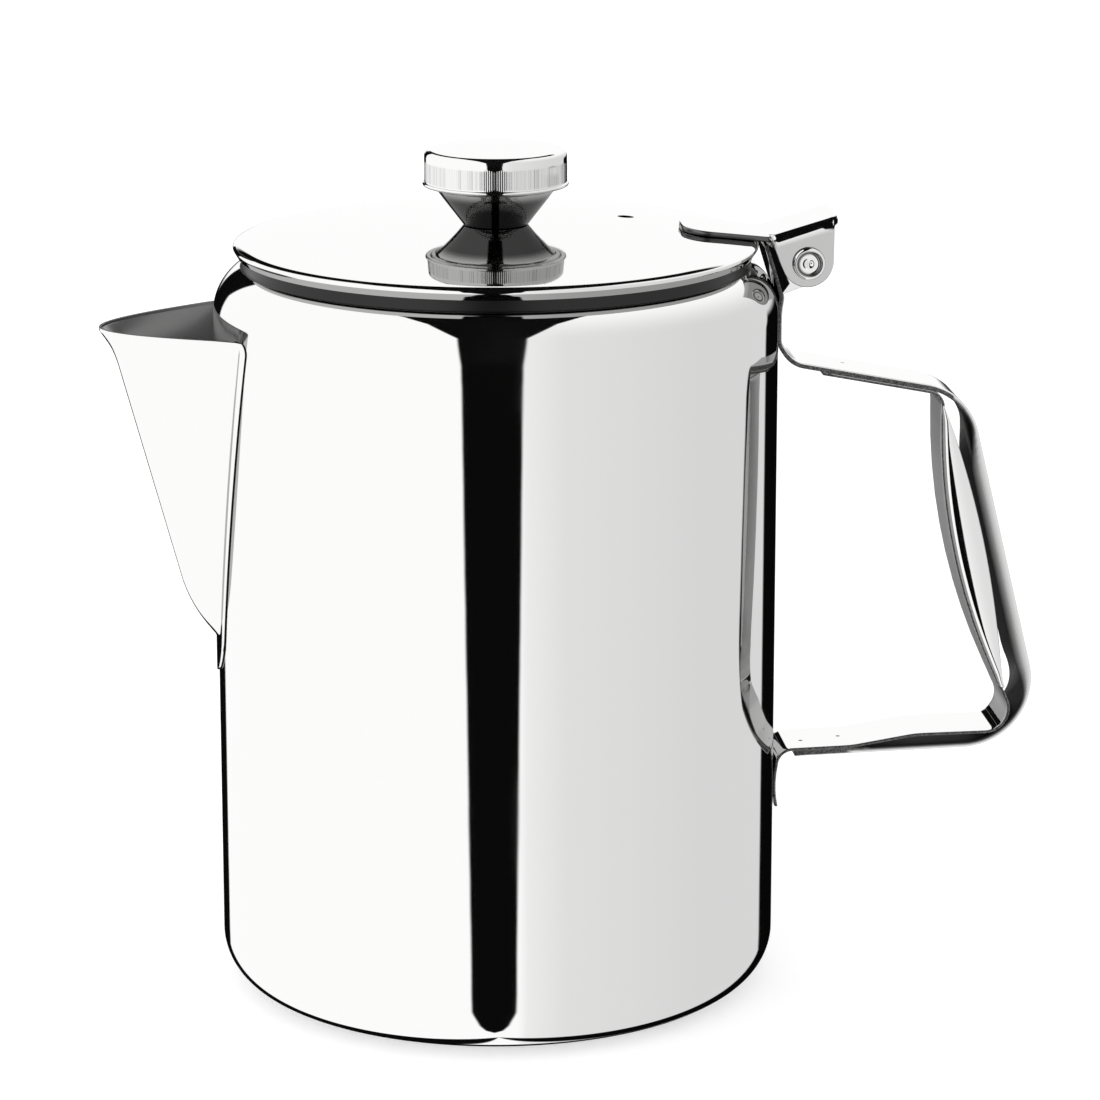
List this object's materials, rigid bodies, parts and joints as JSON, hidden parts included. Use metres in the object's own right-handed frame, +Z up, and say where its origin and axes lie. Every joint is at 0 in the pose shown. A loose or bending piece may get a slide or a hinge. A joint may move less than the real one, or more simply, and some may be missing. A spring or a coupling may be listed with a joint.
{
  "type": "coffee pot",
  "caption": "Polished sheet-steel coffee pot with a folded V spout, a two-strap loop handle and a domed hinged lid with a knurled knob and thumb plate.",
  "frame": {"origin": "centre of the flat base", "axes": "+Z up, +X towards the handle, -X towards the spout"},
  "size_m": [0.2136, 0.128, 0.1941],
  "materials": {
    "polished_steel": "polished",
    "hardware_steel": "satin",
    "insert_brass": "machined"
  },
  "bodies": {
    "pot": {"body_shell": "polished_steel", "spout": "polished_steel", "handle_outer_strap": "polished_steel", "handle_inner_strap": "polished_steel"},
    "lid": {"lid_shell": "polished_steel", "hinge_bracket": "polished_steel", "hinge_pin": "polished_steel", "knob_cap": "polished_steel", "knob_cone": "polished_steel", "knob_insert": "insert_brass", "knob_screw": "hardware_steel", "screw_washer": "hardware_steel"}
  },
  "joints": [
    {"name": "lid_hinge", "type": "hinge", "parent": "pot", "child": "lid", "pos_m": [0.07, 0, 0.1679], "axis": [0, 1, 0], "range_deg": [0, 110]}
  ]
}
